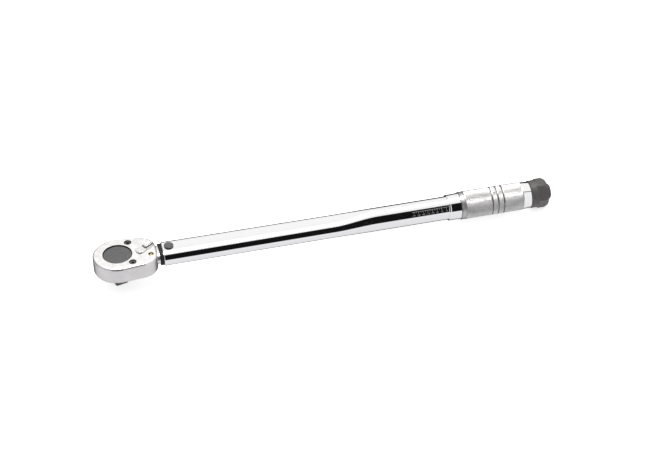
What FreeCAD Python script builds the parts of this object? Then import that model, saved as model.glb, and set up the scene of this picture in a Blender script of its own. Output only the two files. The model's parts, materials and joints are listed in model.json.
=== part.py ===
import FreeCAD, Part
import math
import os

# Click torque wrench with a reversible ratchet head and a 1/2-inch square drive.
#
# Everything is drawn in millimetres about the tube's centre line, with +X from
# the head to the handle and +Z towards the reversing lever.  The drive axis
# crosses the centre line at x = 0.  export() then lifts each piece, so that in
# the finished files z = 0 is the shoulder that a socket seats against.

# ---- driving dimensions -------------------------------------------------
AXIS_HEIGHT = 10.0            # tube centre line above the socket shoulder
HEAD_RADIUS = 24.4            # round nose of the head, about the drive axis
HEAD_HALF_HEIGHT = 8.8
HEAD_FRONT_X = 38.4           # where the head ends and the neck starts
SHOULDER_RADIUS = 17.0        # rounded corners of the head beside the neck
SHOULDER_HALF_FLAT = 5.2
HEAD_EDGE = 2.4               # rounding of the head's top and bottom edges

SQUARE = 12.7                 # 1/2-inch drive, across the flats
SQUARE_LENGTH = 15.0
SQUARE_TURN = 14.0            # degrees the square stands turned at rest
GEAR_TEETH = 36
GEAR_TIP = 16.0
GEAR_ROOT = 14.8
TOOTH_FOOT = 3.6              # half the tooth's angle at the root, and at the tip
TOOTH_CREST = 1.1
BALL_RADIUS = 2.3
BALL_DROP = 8.2               # centre of the detent ball below the shoulder
BALL_SUNK = 1.5               # centre of the ball inside the square's face
GEAR_BOTTOM_Z = -5.6
GEAR_TOP_Z = 4.8
DISC_RADIUS = 14.2            # the gear's round back, seen in the head's top
DISC_GAP = 0.35
DISC_RECESS = 1.1
BOSS_RADIUS = 11.5            # the gear's lower journal, ends in the shoulder

CAVITY_TOP_Z = 5.0            # roof of the ratchet chamber
COVER_THICKNESS = 3.0
COVER_RADIUS = 21.4
SCREW_X = 12.6
SCREW_Y = 15.5
SCREW_RECESS_RADIUS = 3.75
SCREW_RECESS = 3.9
SCREW_HEAD_RADIUS = 3.2
SCREW_HEAD_SUNK = 0.7         # the screw heads lie this far below the head's top
SCREW_SHANK_RADIUS = 2.0
SCREW_SOCKET_RADIUS = 1.75    # across the corners of the hexagon socket, halved
SCREW_SOCKET_DEPTH = 1.9

LEVER_X = 22.5                # pivot of the pawl and of the reversing lever
LEVER_TURN = 32.0             # degrees the lever stands off the wrench's axis
LEVER_REACH = 13.0            # from the pivot to the centre of the round tip
LEVER_HUB = 4.6
LEVER_TIP = 3.5
LEVER_PLATE_Z = 9.0           # underside of the lever plate, just clear of the head
LEVER_PLATE = 1.3
TAB_START = 5.2               # the thumb tab, measured from the pivot
TAB_HALF_WIDTH = 2.3
TAB_HEIGHT = 1.9
INLAY_WIDTH = 0.7
INLAY_DEPTH = 0.4
LEVER_SHAFT = 3.0
PAWL_ROCK = 6.1               # degrees the pawl rocks each way from its middle
PAWL_REACH = 11.0
PAWL_HUB = 6.4
PAWL_TOP_Z = 4.0
RING_GROOVE_RADIUS = 2.5      # the lever shaft inside its snap-ring groove
RING_RADIUS = 4.6
SELECTOR_RADIUS = 1.15        # the sprung plunger that rocks the pawl
SELECTOR_BORE = 1.2
SELECTOR_REACH = 3.35
PLUNGER_Z = -0.8              # height of the sprung selector plunger
STOP_X = 31.8                 # brass pin, sunk in a round recess beside the lever
STOP_Y = -7.9
STOP_RADIUS = 1.9
STOP_RECESS_RADIUS = 2.65
STOP_RECESS = 1.2
STOP_FOOT_Z = 3.0
STOP_SUNK = 0.5

PIN_X = 50.5                  # pivot pin of the click joint
PIN_RADIUS = 3.5
PIN_HEAD = 4.7
PIN_HEAD_HEIGHT = 1.4

WALL = 2.0                    # tube wall
CROWN = 6.0                   # half angle, in degrees, of the pressed flats' slight crown
SEAL_X = 40.3
SEAL_END_X = 43.6
SEAL_WIDTH = 25.4
SEAL_THICKNESS = 16.2
NECK_WIDTH = 22.0             # the neck inside the mouth of the tube
NECK_THICKNESS = 12.4
TUBE_FRONT_X = 43.9
TUBE_RIM = 0.8
FLAT_END_X = 214.0
ROUND_START_X = 260.0
TUBE_END_X = 372.0
TUBE_RADIUS = 11.8
FRONT_WIDTH = 27.8
FRONT_THICKNESS = 17.4
FLAT_WIDTH = 26.5
FLAT_THICKNESS = 17.6

ARM_WIDTH = 10.0
ARM_HEIGHT = 11.0
ARM_END_X = 222.0
BLOCK_LENGTH = 12.0
BLOCK_WIDTH = 9.0
BLOCK_GAP = 0.12
BLOCK_HALF_HEIGHT = 5.0
NOSE_HALF_WIDTH = 6.0         # the plunger's square nose
PLUNGER_DISC_RADIUS = 9.5
PLUNGER_STEM_RADIUS = 4.5     # the stem that centres the main spring
PLUNGER_STEM_LENGTH = 22.0
DISC_START_X = 256.0
DISC_END_X = 262.0
SEAT_X = 340.0
SEAT_END_X = 346.0
SPRING_WIRE = 1.7             # wire radius
SPRING_MEAN = 7.6             # mean coil radius
SPRING_TURNS = 10

SCREW_RADIUS = 6.0            # adjusting screw, 2 mm pitch
THRUST_BALL_RADIUS = 3.0
SEAT_RADIUS = 9.6
INSERT_START_X = 350.0
INSERT_END_X = 370.0
RUNNING = 0.05                # radial clearance of a running fit

THIMBLE_X = 332.0
GRIP_X = 344.7
GRIP_END_X = 418.2
GRIP_RADIUS = 14.25
BAND_X = 410.0
BAND_RADIUS = 13.7
GRIP_FLOOR_X = 408.0
GRIP_GROOVES = (377.1, 383.0, 389.0)
GRIP_RINGS = (345.9, 347.3, 348.7)

KNOB_X = 418.4
HEX_X = 425.6
HEX_END_X = 432.8
KNOB_END_X = 436.3
SKIRT_RADIUS = 13.95
HEX_CORNER = 15.1
HEX_TURN = 34.0               # degrees from -Y up to the normal of one flat
STUD_RADIUS = 4.0
CAP_RADIUS = 7.85
END_X = 440.6

X_AXIS = FreeCAD.Vector(1, 0, 0)
Y_AXIS = FreeCAD.Vector(0, 1, 0)
Z_AXIS = FreeCAD.Vector(0, 0, 1)
ORIGIN = FreeCAD.Vector(0, 0, 0)


# ---- shared shapes ------------------------------------------------------
def vec(x, y, z=0.0):
    return FreeCAD.Vector(x, y, z)


def upright(radius, z0, z1, x=0.0, y=0.0):
    """A cylinder along Z."""
    return Part.makeCylinder(radius, z1 - z0, vec(x, y, z0), Z_AXIS)


def along(radius, x0, x1, y=0.0, z=0.0):
    """A cylinder along X."""
    return Part.makeCylinder(radius, x1 - x0, vec(x0, y, z), X_AXIS)


def block(x0, x1, y0, y1, z0, z1):
    return Part.makeBox(x1 - x0, y1 - y0, z1 - z0, vec(x0, y0, z0))


def turned(profile):
    """The solid that a closed (x, radius) outline sweeps about the X axis."""
    points = [vec(x, 0, r) for x, r in profile]
    wire = Part.makePolygon(points + points[:1])
    return Part.Face(wire).revolve(ORIGIN, X_AXIS, 360)


def prism(points, z0, z1):
    """A polygon in plan, raised from z0 to z1."""
    corners = [vec(x, y, z0) for x, y in points]
    wire = Part.makePolygon(corners + corners[:1])
    return Part.Face(wire).extrude(vec(0, 0, z1 - z0))


def polar(radius, degrees, x=0.0, y=0.0):
    angle = math.radians(degrees)
    return (x + radius * math.cos(angle), y + radius * math.sin(angle))


def coil(mean_radius, wire_radius, turns, length):
    """A helical spring along Z whose wire centre starts at z = 0."""
    path = Part.makeHelix(length / turns, length, mean_radius)
    section = Part.Wire(Part.makeCircle(wire_radius, vec(mean_radius, 0), Y_AXIS))
    return Part.Wire(path).makePipeShell([section], True, True)


def hexagon(corner_radius, x0, x1, turn):
    """A hexagonal prism along X; turn is the angle of a corner from -Y up."""
    corners = [polar(corner_radius, 180.0 - turn + 60.0 * k) for k in range(6)]
    points = [vec(x0, y, z) for y, z in corners]
    wire = Part.makePolygon(points + points[:1])
    return Part.Face(wire).extrude(vec(x1 - x0, 0, 0))


def pear(nose, corner, corner_x, corner_y, z0, z1):
    """A plate with a round nose about the drive axis, tapering to two corners.

    The sides are the common tangents of the nose circle and the corner
    circles, so the outline is smooth all the way round.
    """
    distance = math.hypot(corner_x, corner_y)
    lean = math.atan2(corner_y, corner_x) - math.asin((nose - corner) / distance)
    normal = (-math.sin(lean), math.cos(lean))
    side_start = vec(nose * normal[0], nose * normal[1], z0)
    side_end = vec(corner_x + corner * normal[0], corner_y + corner * normal[1], z0)
    corner_mid = vec(*polar(corner, 45.0, corner_x, corner_y), z0)
    front = vec(corner_x + corner, corner_y, z0)
    edges = [
        Part.LineSegment(side_start, side_end).toShape(),
        Part.Arc(side_end, corner_mid, front).toShape(),
    ]
    if corner_y > 0:
        edges.append(Part.LineSegment(front, mirrored(front)).toShape())
    edges.append(Part.Arc(mirrored(front), mirrored(corner_mid), mirrored(side_end)).toShape())
    edges.append(Part.LineSegment(mirrored(side_end), mirrored(side_start)).toShape())
    edges.append(Part.Arc(mirrored(side_start), vec(-nose, 0, z0), side_start).toShape())
    return Part.Face(Part.Wire(edges)).extrude(vec(0, 0, z1 - z0))


def mirrored(point):
    return vec(point.x, -point.y, point.z)


def edges_at(shape, heights):
    """The edges that lie flat at one of the given heights."""
    chosen = []
    for edge in shape.Edges:
        box = edge.BoundBox
        if any(abs(box.ZMin - z) < 0.01 and abs(box.ZMax - z) < 0.01 for z in heights):
            chosen.append(edge)
    return chosen


def edges_across(shape, x):
    """The edges that lie in the plane at x."""
    boxes = [(edge, edge.BoundBox) for edge in shape.Edges]
    return [e for e, box in boxes if abs(box.XMin - x) < 0.01 and abs(box.XMax - x) < 0.01]


# ---- the pressed oval of the tube, seal and neck ------------------------
def oval_arcs(width, thickness):
    """Half spacing and radius of the oval's side arcs."""
    slope = math.tan(math.radians(CROWN / 2.0))
    spacing = (width - thickness) / 2.0 / (1.0 - slope)
    return spacing, width / 2.0 - spacing


def oval_wire(x, spacing, radius):
    """A closed oval of four tangent arcs in the plane at x.

    The side arcs are centred at y = +-spacing; the top and bottom arcs span
    CROWN degrees each way, so with no spacing the oval is a circle.
    """
    crown = math.radians(CROWN)
    top = radius + spacing * math.tan(crown / 2.0)
    joint_y = spacing + radius * math.sin(crown)
    joint_z = radius * math.cos(crown)
    side = spacing + radius
    corners = [(joint_y, joint_z), (-joint_y, joint_z), (-joint_y, -joint_z), (joint_y, -joint_z)]
    middles = [(0, top), (-side, 0), (0, -top), (side, 0)]
    edges = []
    for index, middle in enumerate(middles):
        start = vec(x, *corners[index])
        end = vec(x, *corners[(index + 1) % 4])
        edges.append(Part.Arc(start, vec(x, *middle), end).toShape())
    return Part.Wire(edges)


def oval_bar(x0, x1, width, thickness, end_width=None, end_thickness=None):
    """A straight bar of oval section, with an even taper if the end differs."""
    start = oval_wire(x0, *oval_arcs(width, thickness))
    end = oval_wire(x1, *oval_arcs(end_width or width, end_thickness or thickness))
    return Part.makeLoft([start, end], True, True)


def tube_solid(inset):
    """The tube's outer form, or its bore when inset is the wall thickness."""
    flat = oval_bar(
        TUBE_FRONT_X, FLAT_END_X,
        FRONT_WIDTH - 2 * inset, FRONT_THICKNESS - 2 * inset,
        FLAT_WIDTH - 2 * inset, FLAT_THICKNESS - 2 * inset,
    )
    spacing, radius = oval_arcs(FLAT_WIDTH - 2 * inset, FLAT_THICKNESS - 2 * inset)
    stations = 8
    sections = []
    for step in range(stations + 1):
        share = step / stations
        ease = share * share * (3.0 - 2.0 * share)
        x = FLAT_END_X + share * (ROUND_START_X - FLAT_END_X)
        oval_radius = radius + ease * (TUBE_RADIUS - inset - radius)
        sections.append(oval_wire(x, spacing * (1.0 - ease), oval_radius))
    blend = Part.makeLoft(sections, True, False)
    barrel = along(TUBE_RADIUS - inset, ROUND_START_X, TUBE_END_X)
    return flat.fuse([blend, barrel])


# ---- tube body ----------------------------------------------------------
def tube():
    shape = tube_solid(0.0)
    shape = shape.makeFillet(TUBE_RIM, edges_across(shape, TUBE_FRONT_X))
    shape = shape.cut(tube_solid(WALL))
    shape = shape.cut(upright(PIN_RADIUS, -HEAD_RADIUS, HEAD_RADIUS, PIN_X))
    for pin in insert_pin_shapes():
        shape = shape.cut(pin)
    return shape


def pivot_pin():
    """The click joint's pin, with a low button head on both flats."""
    face_z = FRONT_THICKNESS / 2.0
    end_z = face_z + PIN_HEAD_HEIGHT
    head = upright(PIN_HEAD, face_z, end_z, PIN_X)
    head = head.makeFillet(0.45, edges_at(head, (end_z,)))
    foot = upright(PIN_HEAD, -end_z, -face_z, PIN_X)
    foot = foot.makeFillet(0.45, edges_at(foot, (-end_z,)))
    return upright(PIN_RADIUS, -face_z, face_z, PIN_X).fuse([head, foot])


def threaded_insert():
    shape = along(TUBE_RADIUS - WALL, INSERT_START_X, INSERT_END_X)
    shape = shape.cut(along(SCREW_RADIUS + RUNNING, INSERT_START_X, INSERT_END_X))
    for pin in insert_pin_shapes():
        shape = shape.cut(pin)
    return shape


def insert_pin_shapes():
    """Three radial pins that hold the insert in the tube."""
    pins = []
    middle = (INSERT_START_X + INSERT_END_X) / 2.0
    for index in range(3):
        y, z = polar(1.0, 90.0 + 120.0 * index)
        start = vec(middle, 7.5 * y, 7.5 * z)
        pins.append(Part.makeCylinder(1.5, TUBE_RADIUS - 7.6, start, vec(0, y, z)))
    return pins


def insert_pins():
    return Part.makeCompound(insert_pin_shapes())


# ---- head ---------------------------------------------------------------
def cover_outline(grow, z0, z1):
    return pear(COVER_RADIUS + grow, 10.5 + grow, 21.0, 0.0, z0, z1)


def ratchet_chamber():
    """The space for the gear and the pawl, open at the bottom for the cover."""
    floor_z = -HEAD_HALF_HEIGHT + COVER_THICKNESS
    reach = PAWL_REACH + 0.6
    swing = upright(reach, floor_z, CAVITY_TOP_Z, LEVER_X)
    swing = swing.cut(block(LEVER_X + 2.0, 50, -20, 20, -10, 10))
    chamber = upright(GEAR_TIP + 0.4, floor_z, CAVITY_TOP_Z)
    chamber = chamber.fuse([swing, upright(PAWL_HUB + 0.5, floor_z, CAVITY_TOP_Z, LEVER_X)])
    return chamber.fuse(cover_outline(0.05, -HEAD_HALF_HEIGHT, floor_z))


def neck():
    return oval_bar(HEAD_FRONT_X - 4.0, PIN_X + 9.5, NECK_WIDTH, NECK_THICKNESS)


def arm():
    """The neck, the pivot boss and the long arm that runs down the tube."""
    half = ARM_WIDTH / 2.0
    height = ARM_HEIGHT / 2.0
    bar = block(PIN_X, ARM_END_X, -half, half, -height, height)
    bar = bar.makeChamfer(0.8, [e for e in bar.Edges if e.BoundBox.XLength > 50])
    rod = neck().fuse(bar)
    return rod.cut(upright(PIN_RADIUS + RUNNING, -10, 10, PIN_X))


def head_body():
    top = HEAD_HALF_HEIGHT
    corner_x = HEAD_FRONT_X - SHOULDER_RADIUS
    shape = pear(HEAD_RADIUS, SHOULDER_RADIUS, corner_x, SHOULDER_HALF_FLAT, -top, top)
    shape = shape.makeFillet(HEAD_EDGE, edges_at(shape, (-top, top)))
    shape = shape.fuse(arm()).removeSplitter()
    shape = shape.cut(ratchet_chamber())
    shape = shape.cut(upright(DISC_RADIUS + DISC_GAP, CAVITY_TOP_Z - 0.1, top + 1))
    shape = shape.cut(upright(LEVER_SHAFT + RUNNING, 0, top + 1, LEVER_X))
    shape = shape.cut(upright(STOP_RECESS_RADIUS, top - STOP_RECESS, top + 1, STOP_X, STOP_Y))
    shape = shape.cut(upright(STOP_RADIUS, STOP_FOOT_Z, top + 1, STOP_X, STOP_Y))
    for side in (1, -1):
        seat = upright(SCREW_RECESS_RADIUS, top - SCREW_RECESS, top + 1, SCREW_X, side * SCREW_Y)
        shape = shape.cut(seat)
        shape = shape.cut(upright(SCREW_SHANK_RADIUS + 0.1, -top, top, SCREW_X, side * SCREW_Y))
    return shape


def cover_plate():
    top = -HEAD_HALF_HEIGHT + COVER_THICKNESS
    shape = cover_outline(0.0, -HEAD_HALF_HEIGHT, top)
    shape = shape.cut(upright(BOSS_RADIUS + RUNNING, -20, 20))
    for side in (1, -1):
        shape = shape.cut(upright(SCREW_SHANK_RADIUS, -20, 20, SCREW_X, side * SCREW_Y))
    return shape


def cover_screw(y):
    """A socket cap screw, its head sunk in the top of the head."""
    head_top = HEAD_HALF_HEIGHT - SCREW_HEAD_SUNK
    head_bottom = HEAD_HALF_HEIGHT - SCREW_RECESS
    foot = -HEAD_HALF_HEIGHT + 0.3
    shape = upright(SCREW_HEAD_RADIUS, head_bottom, head_top, SCREW_X, y)
    shape = shape.makeChamfer(0.35, edges_at(shape, (head_top,)))
    shape = shape.fuse(upright(SCREW_SHANK_RADIUS, foot, head_bottom, SCREW_X, y))
    socket = [polar(SCREW_SOCKET_RADIUS, 60.0 * k, SCREW_X, y) for k in range(6)]
    return shape.cut(prism(socket, head_top - SCREW_SOCKET_DEPTH, head_top))


def cover_screws():
    return Part.makeCompound([cover_screw(SCREW_Y), cover_screw(-SCREW_Y)])


def stop_pin():
    """The brass pin beside the lever, its crown a little below the top."""
    top = HEAD_HALF_HEIGHT - STOP_SUNK
    shape = upright(STOP_RADIUS, STOP_FOOT_Z, top, STOP_X, STOP_Y)
    return shape.makeFillet(0.6, edges_at(shape, (top,)))


def neck_seal():
    """A rubber ring on the neck that closes the mouth of the tube."""
    outer = oval_bar(SEAL_X, SEAL_END_X, SEAL_WIDTH, SEAL_THICKNESS)
    rims = edges_across(outer, SEAL_X) + edges_across(outer, SEAL_END_X)
    return outer.makeFillet(0.8, rims).cut(neck())


# ---- ratchet ------------------------------------------------------------
def gear_outline(z0, z1, grow=0.0):
    """The toothed wheel; grow swells the teeth to leave them room."""
    pitch = 360.0 / GEAR_TEETH
    points = []
    for index in range(GEAR_TEETH):
        middle = index * pitch
        points.append(polar(GEAR_ROOT + grow, middle - TOOTH_FOOT))
        points.append(polar(GEAR_TIP + grow, middle - TOOTH_CREST - 2.0 * grow))
        points.append(polar(GEAR_TIP + grow, middle + TOOTH_CREST + 2.0 * grow))
        points.append(polar(GEAR_ROOT + grow, middle + TOOTH_FOOT))
    return prism(points, z0, z1)


def ball_direction():
    """The outward normal of the square's face that carries the ball."""
    return vec(*polar(1.0, SQUARE_TURN - 90.0))


def ball_height():
    return -AXIS_HEIGHT - BALL_DROP


def drive_square():
    half = SQUARE / 2.0
    tip = -AXIS_HEIGHT - SQUARE_LENGTH
    shape = block(-half, half, -half, half, tip, -AXIS_HEIGHT + 0.5)
    uprights = [e for e in shape.Edges if e.BoundBox.ZLength > 1]
    shape = shape.makeFillet(1.3, uprights)
    shape = shape.makeChamfer(0.8, edges_at(shape, (tip,)))
    shape.rotate(ORIGIN, Z_AXIS, SQUARE_TURN)
    return shape


def drive_gear():
    """Gear, round back, journal and square in one forging."""
    disc_top = HEAD_HALF_HEIGHT - DISC_RECESS
    disc = upright(DISC_RADIUS, GEAR_TOP_Z, disc_top)
    disc = disc.makeChamfer(0.5, edges_at(disc, (disc_top,)))
    boss = upright(BOSS_RADIUS, -AXIS_HEIGHT, GEAR_BOTTOM_Z)
    boss = boss.makeChamfer(0.4, edges_at(boss, (-AXIS_HEIGHT,)))
    shape = gear_outline(GEAR_BOTTOM_Z, GEAR_TOP_Z).fuse([disc, boss, drive_square()])
    start = ball_direction() * (SQUARE / 2.0 + 1.0) + vec(0, 0, ball_height())
    bore = Part.makeCylinder(BALL_RADIUS + RUNNING, SQUARE / 2.0 + 5.0, start, ball_direction() * -1.0)
    return shape.cut(bore)


def drive_ball():
    centre = ball_direction() * (SQUARE / 2.0 - BALL_SUNK) + vec(0, 0, ball_height())
    return Part.makeSphere(BALL_RADIUS, centre)


def ball_spring():
    """The spring behind the ball, standing on the floor of its bore."""
    shape = coil(mean_radius=1.6, wire_radius=0.35, turns=5, length=5.0)
    shape.rotate(ORIGIN, Y_AXIS, 90)
    shape.rotate(ORIGIN, Z_AXIS, SQUARE_TURN - 90.0)
    shape.translate(ball_direction() * -3.5 + vec(0, 0, ball_height()))
    return shape


def pawl():
    """A rocking pawl with a set of teeth at each end.

    It is drawn in its middle position, relieved for the gear over its whole
    rock, and then turned to the end that is in mesh.
    """
    low, high = GEAR_BOTTOM_Z + 0.1, PAWL_TOP_Z
    wings = [(LEVER_X, 0)]
    wings += [polar(PAWL_REACH, 180.0 + a, LEVER_X) for a in range(-54, 55, 12)]
    shape = upright(PAWL_HUB, low, high, LEVER_X).fuse(prism(wings, low, high))
    shape = shape.cut(upright(GEAR_TIP + 1.4, low - 1, high + 1).common(block(0, 30, -4.2, 4.2, -20, 20)))
    steps = 12
    for step in range(steps + 1):
        angle = PAWL_ROCK * (2.0 * step / steps - 1.0)
        gear = gear_outline(low - 1, high + 1, 0.12)
        gear.rotate(vec(LEVER_X, 0), Z_AXIS, -angle)
        shape = shape.cut(gear)
    shape = shape.cut(upright(LEVER_SHAFT + RUNNING, low - 1, high + 1, LEVER_X))
    pocket = [(0, 3), (-2.6, 5.0), (-5.6, 0), (-2.6, -5.0), (0, -3)]
    pocket = [(LEVER_X + x, y) for x, y in pocket]
    shape = shape.cut(prism(pocket, PLUNGER_Z - 1.4, PLUNGER_Z + 1.4))
    shape.rotate(vec(LEVER_X, 0), Z_AXIS, -PAWL_ROCK)
    return largest(shape)


def largest(shape):
    """The biggest solid of a cut, without the crumbs left beside it."""
    return max(shape.Solids, key=lambda solid: solid.Volume)


def at_lever(shape):
    """Turns a piece drawn along +X from the pivot to the lever's rest angle."""
    shape.rotate(ORIGIN, Z_AXIS, LEVER_TURN)
    shape.translate(vec(LEVER_X, 0))
    return shape


def round_ended(start, half_width, z0, z1):
    """A bar along the lever that ends round about the centre of its tip."""
    bar = block(start, LEVER_REACH, -half_width, half_width, z0, z1)
    return bar.fuse(upright(half_width, z0, z1, LEVER_REACH)).removeSplitter()


def lever_tab(bottom, top):
    """The raised thumb tab at the lever's tip, scooped along its top."""
    tab = round_ended(TAB_START, TAB_HALF_WIDTH, bottom, top)
    tab = tab.makeFillet(0.4, edges_at(tab, (top,)))
    scoop_radius = 3.4
    centre_z = top + scoop_radius - 0.6
    scoop = along(scoop_radius, TAB_START + 1.6, LEVER_REACH + 0.4, 0, centre_z)
    return tab.cut(scoop.makeFillet(1.2, scoop.Edges))


def lever_inlay():
    """The black line let into the lever round the foot of its tab."""
    top = LEVER_PLATE_Z + LEVER_PLATE
    reach = TAB_HALF_WIDTH + INLAY_WIDTH
    shape = round_ended(TAB_START - INLAY_WIDTH, reach, top - INLAY_DEPTH, top + 0.05)
    return at_lever(shape.cut(round_ended(TAB_START, TAB_HALF_WIDTH, 0, 20)))


def reversing_lever():
    """A thumb lever on a shaft; the plunger's bore points away from the tab."""
    bottom = LEVER_PLATE_Z
    top = bottom + LEVER_PLATE
    plate = upright(LEVER_HUB, bottom, top).fuse(upright(LEVER_TIP, bottom, top, LEVER_REACH))
    sides = [(0, LEVER_HUB), (LEVER_REACH, LEVER_TIP), (LEVER_REACH, -LEVER_TIP), (0, -LEVER_HUB)]
    plate = plate.fuse(prism(sides, bottom, top)).removeSplitter()
    plate = plate.makeFillet(0.4, edges_at(plate, (top,)))
    reach = TAB_HALF_WIDTH + INLAY_WIDTH
    plate = plate.cut(round_ended(TAB_START - INLAY_WIDTH, reach, top - INLAY_DEPTH, top + 1))
    shaft = upright(LEVER_SHAFT, GEAR_BOTTOM_Z - 0.1, bottom + 0.5)
    shape = plate.fuse([lever_tab(bottom + 0.5, top + TAB_HEIGHT), shaft])
    shape = shape.cut(Part.makeSphere(1.6, vec(0, 0, top + 1.1)))
    groove = upright(LEVER_SHAFT + 1, 4.1, 4.85).cut(upright(RING_GROOVE_RADIUS, 4, 5))
    bore = Part.makeCylinder(SELECTOR_BORE, 5.0, vec(-3.5, 0, PLUNGER_Z), X_AXIS)
    return at_lever(shape.cut(groove).cut(bore))


def lever_ring():
    """The open snap ring that keeps the lever's shaft in the head."""
    shape = upright(RING_RADIUS, 4.2, 4.75).cut(upright(RING_GROOVE_RADIUS + 0.02, 4, 5))
    return at_lever(shape.cut(block(0, 6, -1.2, 1.2, 4, 5)))


def selector_plunger():
    """The sprung pin in the lever's shaft that rocks the pawl over."""
    tip = vec(-SELECTOR_REACH, 0, PLUNGER_Z)
    shape = Part.makeCylinder(SELECTOR_RADIUS, 3.15, tip, X_AXIS)
    return at_lever(shape.fuse(Part.makeSphere(SELECTOR_RADIUS, tip)))


def selector_spring():
    shape = coil(mean_radius=0.8, wire_radius=0.16, turns=3, length=1.3)
    shape.rotate(ORIGIN, Y_AXIS, 90)
    shape.translate(vec(0.02, 0, PLUNGER_Z))
    return at_lever(shape)


# ---- click mechanism in the tube ----------------------------------------
def tilt_block():
    """The block that stands between the arm and the plunger and tips over."""
    start = ARM_END_X + BLOCK_GAP
    half = BLOCK_WIDTH / 2.0
    shape = block(start, start + BLOCK_LENGTH, -half, half, -BLOCK_HALF_HEIGHT, BLOCK_HALF_HEIGHT)
    return shape.makeChamfer(0.4, [e for e in shape.Edges if e.BoundBox.XLength > 5])


def plunger():
    """The square-nosed piston that carries the main spring."""
    start = ARM_END_X + BLOCK_LENGTH + 2 * BLOCK_GAP
    half = NOSE_HALF_WIDTH
    nose = block(start, DISC_START_X + 1, -half, half, -half, half)
    disc = along(PLUNGER_DISC_RADIUS, DISC_START_X, DISC_END_X)
    disc = disc.makeChamfer(0.4, disc.Edges)
    stem = along(PLUNGER_STEM_RADIUS, DISC_END_X - 1, DISC_END_X + PLUNGER_STEM_LENGTH)
    return nose.fuse([disc, stem])


def main_spring():
    length = SEAT_X - DISC_END_X - 2.0 * SPRING_WIRE - 0.1
    shape = coil(SPRING_MEAN, SPRING_WIRE, SPRING_TURNS, length)
    shape.rotate(ORIGIN, Y_AXIS, 90)
    shape.translate(vec(DISC_END_X + SPRING_WIRE + 0.05, 0))
    return shape


def spring_seat():
    """The seat that the adjusting screw pushes along the tube."""
    pilot = SEAT_X - 8.0
    shape = turned([
        (pilot, 0), (pilot, PLUNGER_STEM_RADIUS), (SEAT_X, PLUNGER_STEM_RADIUS),
        (SEAT_X, SEAT_RADIUS), (SEAT_END_X, SEAT_RADIUS), (SEAT_END_X, 0),
    ])
    return shape.cut(Part.makeSphere(THRUST_BALL_RADIUS, vec(SEAT_END_X, 0, 0)))


def thrust_ball():
    return Part.makeSphere(THRUST_BALL_RADIUS - RUNNING, vec(SEAT_END_X, 0, 0))


# ---- handle -------------------------------------------------------------
def adjusting_screw():
    """The screw that carries the handle, with the lock knob's stud behind it."""
    tip, step = SEAT_END_X + 0.1, GRIP_END_X - 0.2
    stud_end = KNOB_END_X - 3.0
    shape = turned([(tip, 0), (tip, 5.0), (tip + 1.0, SCREW_RADIUS), (step, SCREW_RADIUS),
                    (step, STUD_RADIUS), (stud_end, STUD_RADIUS), (stud_end, 0)])
    return shape.cut(Part.makeSphere(THRUST_BALL_RADIUS + RUNNING, vec(SEAT_END_X, 0, 0)))


def thimble():
    """The bright collar whose rim is read against the scale on the tube."""
    bore = TUBE_RADIUS + 0.08
    spigot_end = GRIP_X + 7.0
    return turned([
        (THIMBLE_X, bore), (THIMBLE_X, 12.75), (THIMBLE_X + 0.4, 13.1), (THIMBLE_X + 1.6, 13.1),
        (THIMBLE_X + 2.4, 12.9), (GRIP_X, 13.3), (GRIP_X, 12.6), (spigot_end, 12.6), (spigot_end, bore),
    ])


def grooved(start, end, radius, grooves, width, depth):
    """Outline points of a turned surface with V grooves cut into it."""
    points = [(start, radius)]
    for x in grooves:
        points += [(x - width / 2.0, radius), (x, radius - depth), (x + width / 2.0, radius)]
    return points + [(end, radius)]


def grip():
    """The knurled sleeve, with a plain band and a solid floor at its end."""
    body_end = BAND_X - 0.5
    rings = grooved(GRIP_X + 0.5, GRIP_X + 4.9, GRIP_RADIUS - 0.3, GRIP_RINGS, 0.7, 0.35)
    body = grooved(GRIP_X + 5.0, body_end, GRIP_RADIUS, GRIP_GROOVES, 1.2, 0.8)
    outline = [(GRIP_X, 12.6), (GRIP_X, GRIP_RADIUS - 0.8)] + rings + body
    outline += [(BAND_X, BAND_RADIUS), (GRIP_END_X - 0.6, BAND_RADIUS), (GRIP_END_X, BAND_RADIUS - 0.6),
                (GRIP_END_X, 9.2), (GRIP_END_X - 5.4, 9.2), (GRIP_END_X - 5.4, SCREW_RADIUS),
                (GRIP_FLOOR_X, SCREW_RADIUS), (GRIP_FLOOR_X, 12.2), (GRIP_X + 7.0, 12.2),
                (GRIP_X + 7.0, 12.6)]
    return turned(outline)


def handle_nut():
    """The hexagon nut that clamps the sleeve to the adjusting screw."""
    start = GRIP_END_X - 5.4
    shape = hexagon(9.0, start, start + 5.0, 0.0)
    return shape.cut(along(SCREW_RADIUS, start - 1, start + 6))


def lock_washer():
    """The thin washer that slides on the stud ahead of the lock knob."""
    return along(9.0, KNOB_X, KNOB_X + 0.9).cut(along(STUD_RADIUS + RUNNING, KNOB_X - 1, KNOB_X + 2))


def lock_knob():
    """The moulded knob: a round skirt, a hexagon flange and a tapered end."""
    skirt = turned([(KNOB_X, 0), (KNOB_X, SKIRT_RADIUS - 0.5), (KNOB_X + 0.5, SKIRT_RADIUS),
                    (HEX_X + 1.0, SKIRT_RADIUS), (HEX_X + 1.0, 0)])
    flange = hexagon(HEX_CORNER, HEX_X - 1.5, KNOB_END_X, HEX_TURN + 30.0)
    envelope = turned([
        (HEX_X - 1.5, 0), (HEX_X - 1.5, SKIRT_RADIUS - 0.4), (HEX_X + 0.3, HEX_CORNER - 0.15),
        (HEX_END_X, HEX_CORNER - 0.15), (KNOB_END_X - 0.5, 13.0), (KNOB_END_X, 12.3), (KNOB_END_X, 0),
    ])
    shape = skirt.fuse(flange.common(envelope))
    shape = shape.cut(along(9.3, KNOB_X - 1, KNOB_X + 1.1))
    shape = shape.cut(hexagon(7.0, KNOB_X, KNOB_X + 13.0, 0.0))
    return shape.cut(along(5.0, KNOB_X, KNOB_END_X + 1))


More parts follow.
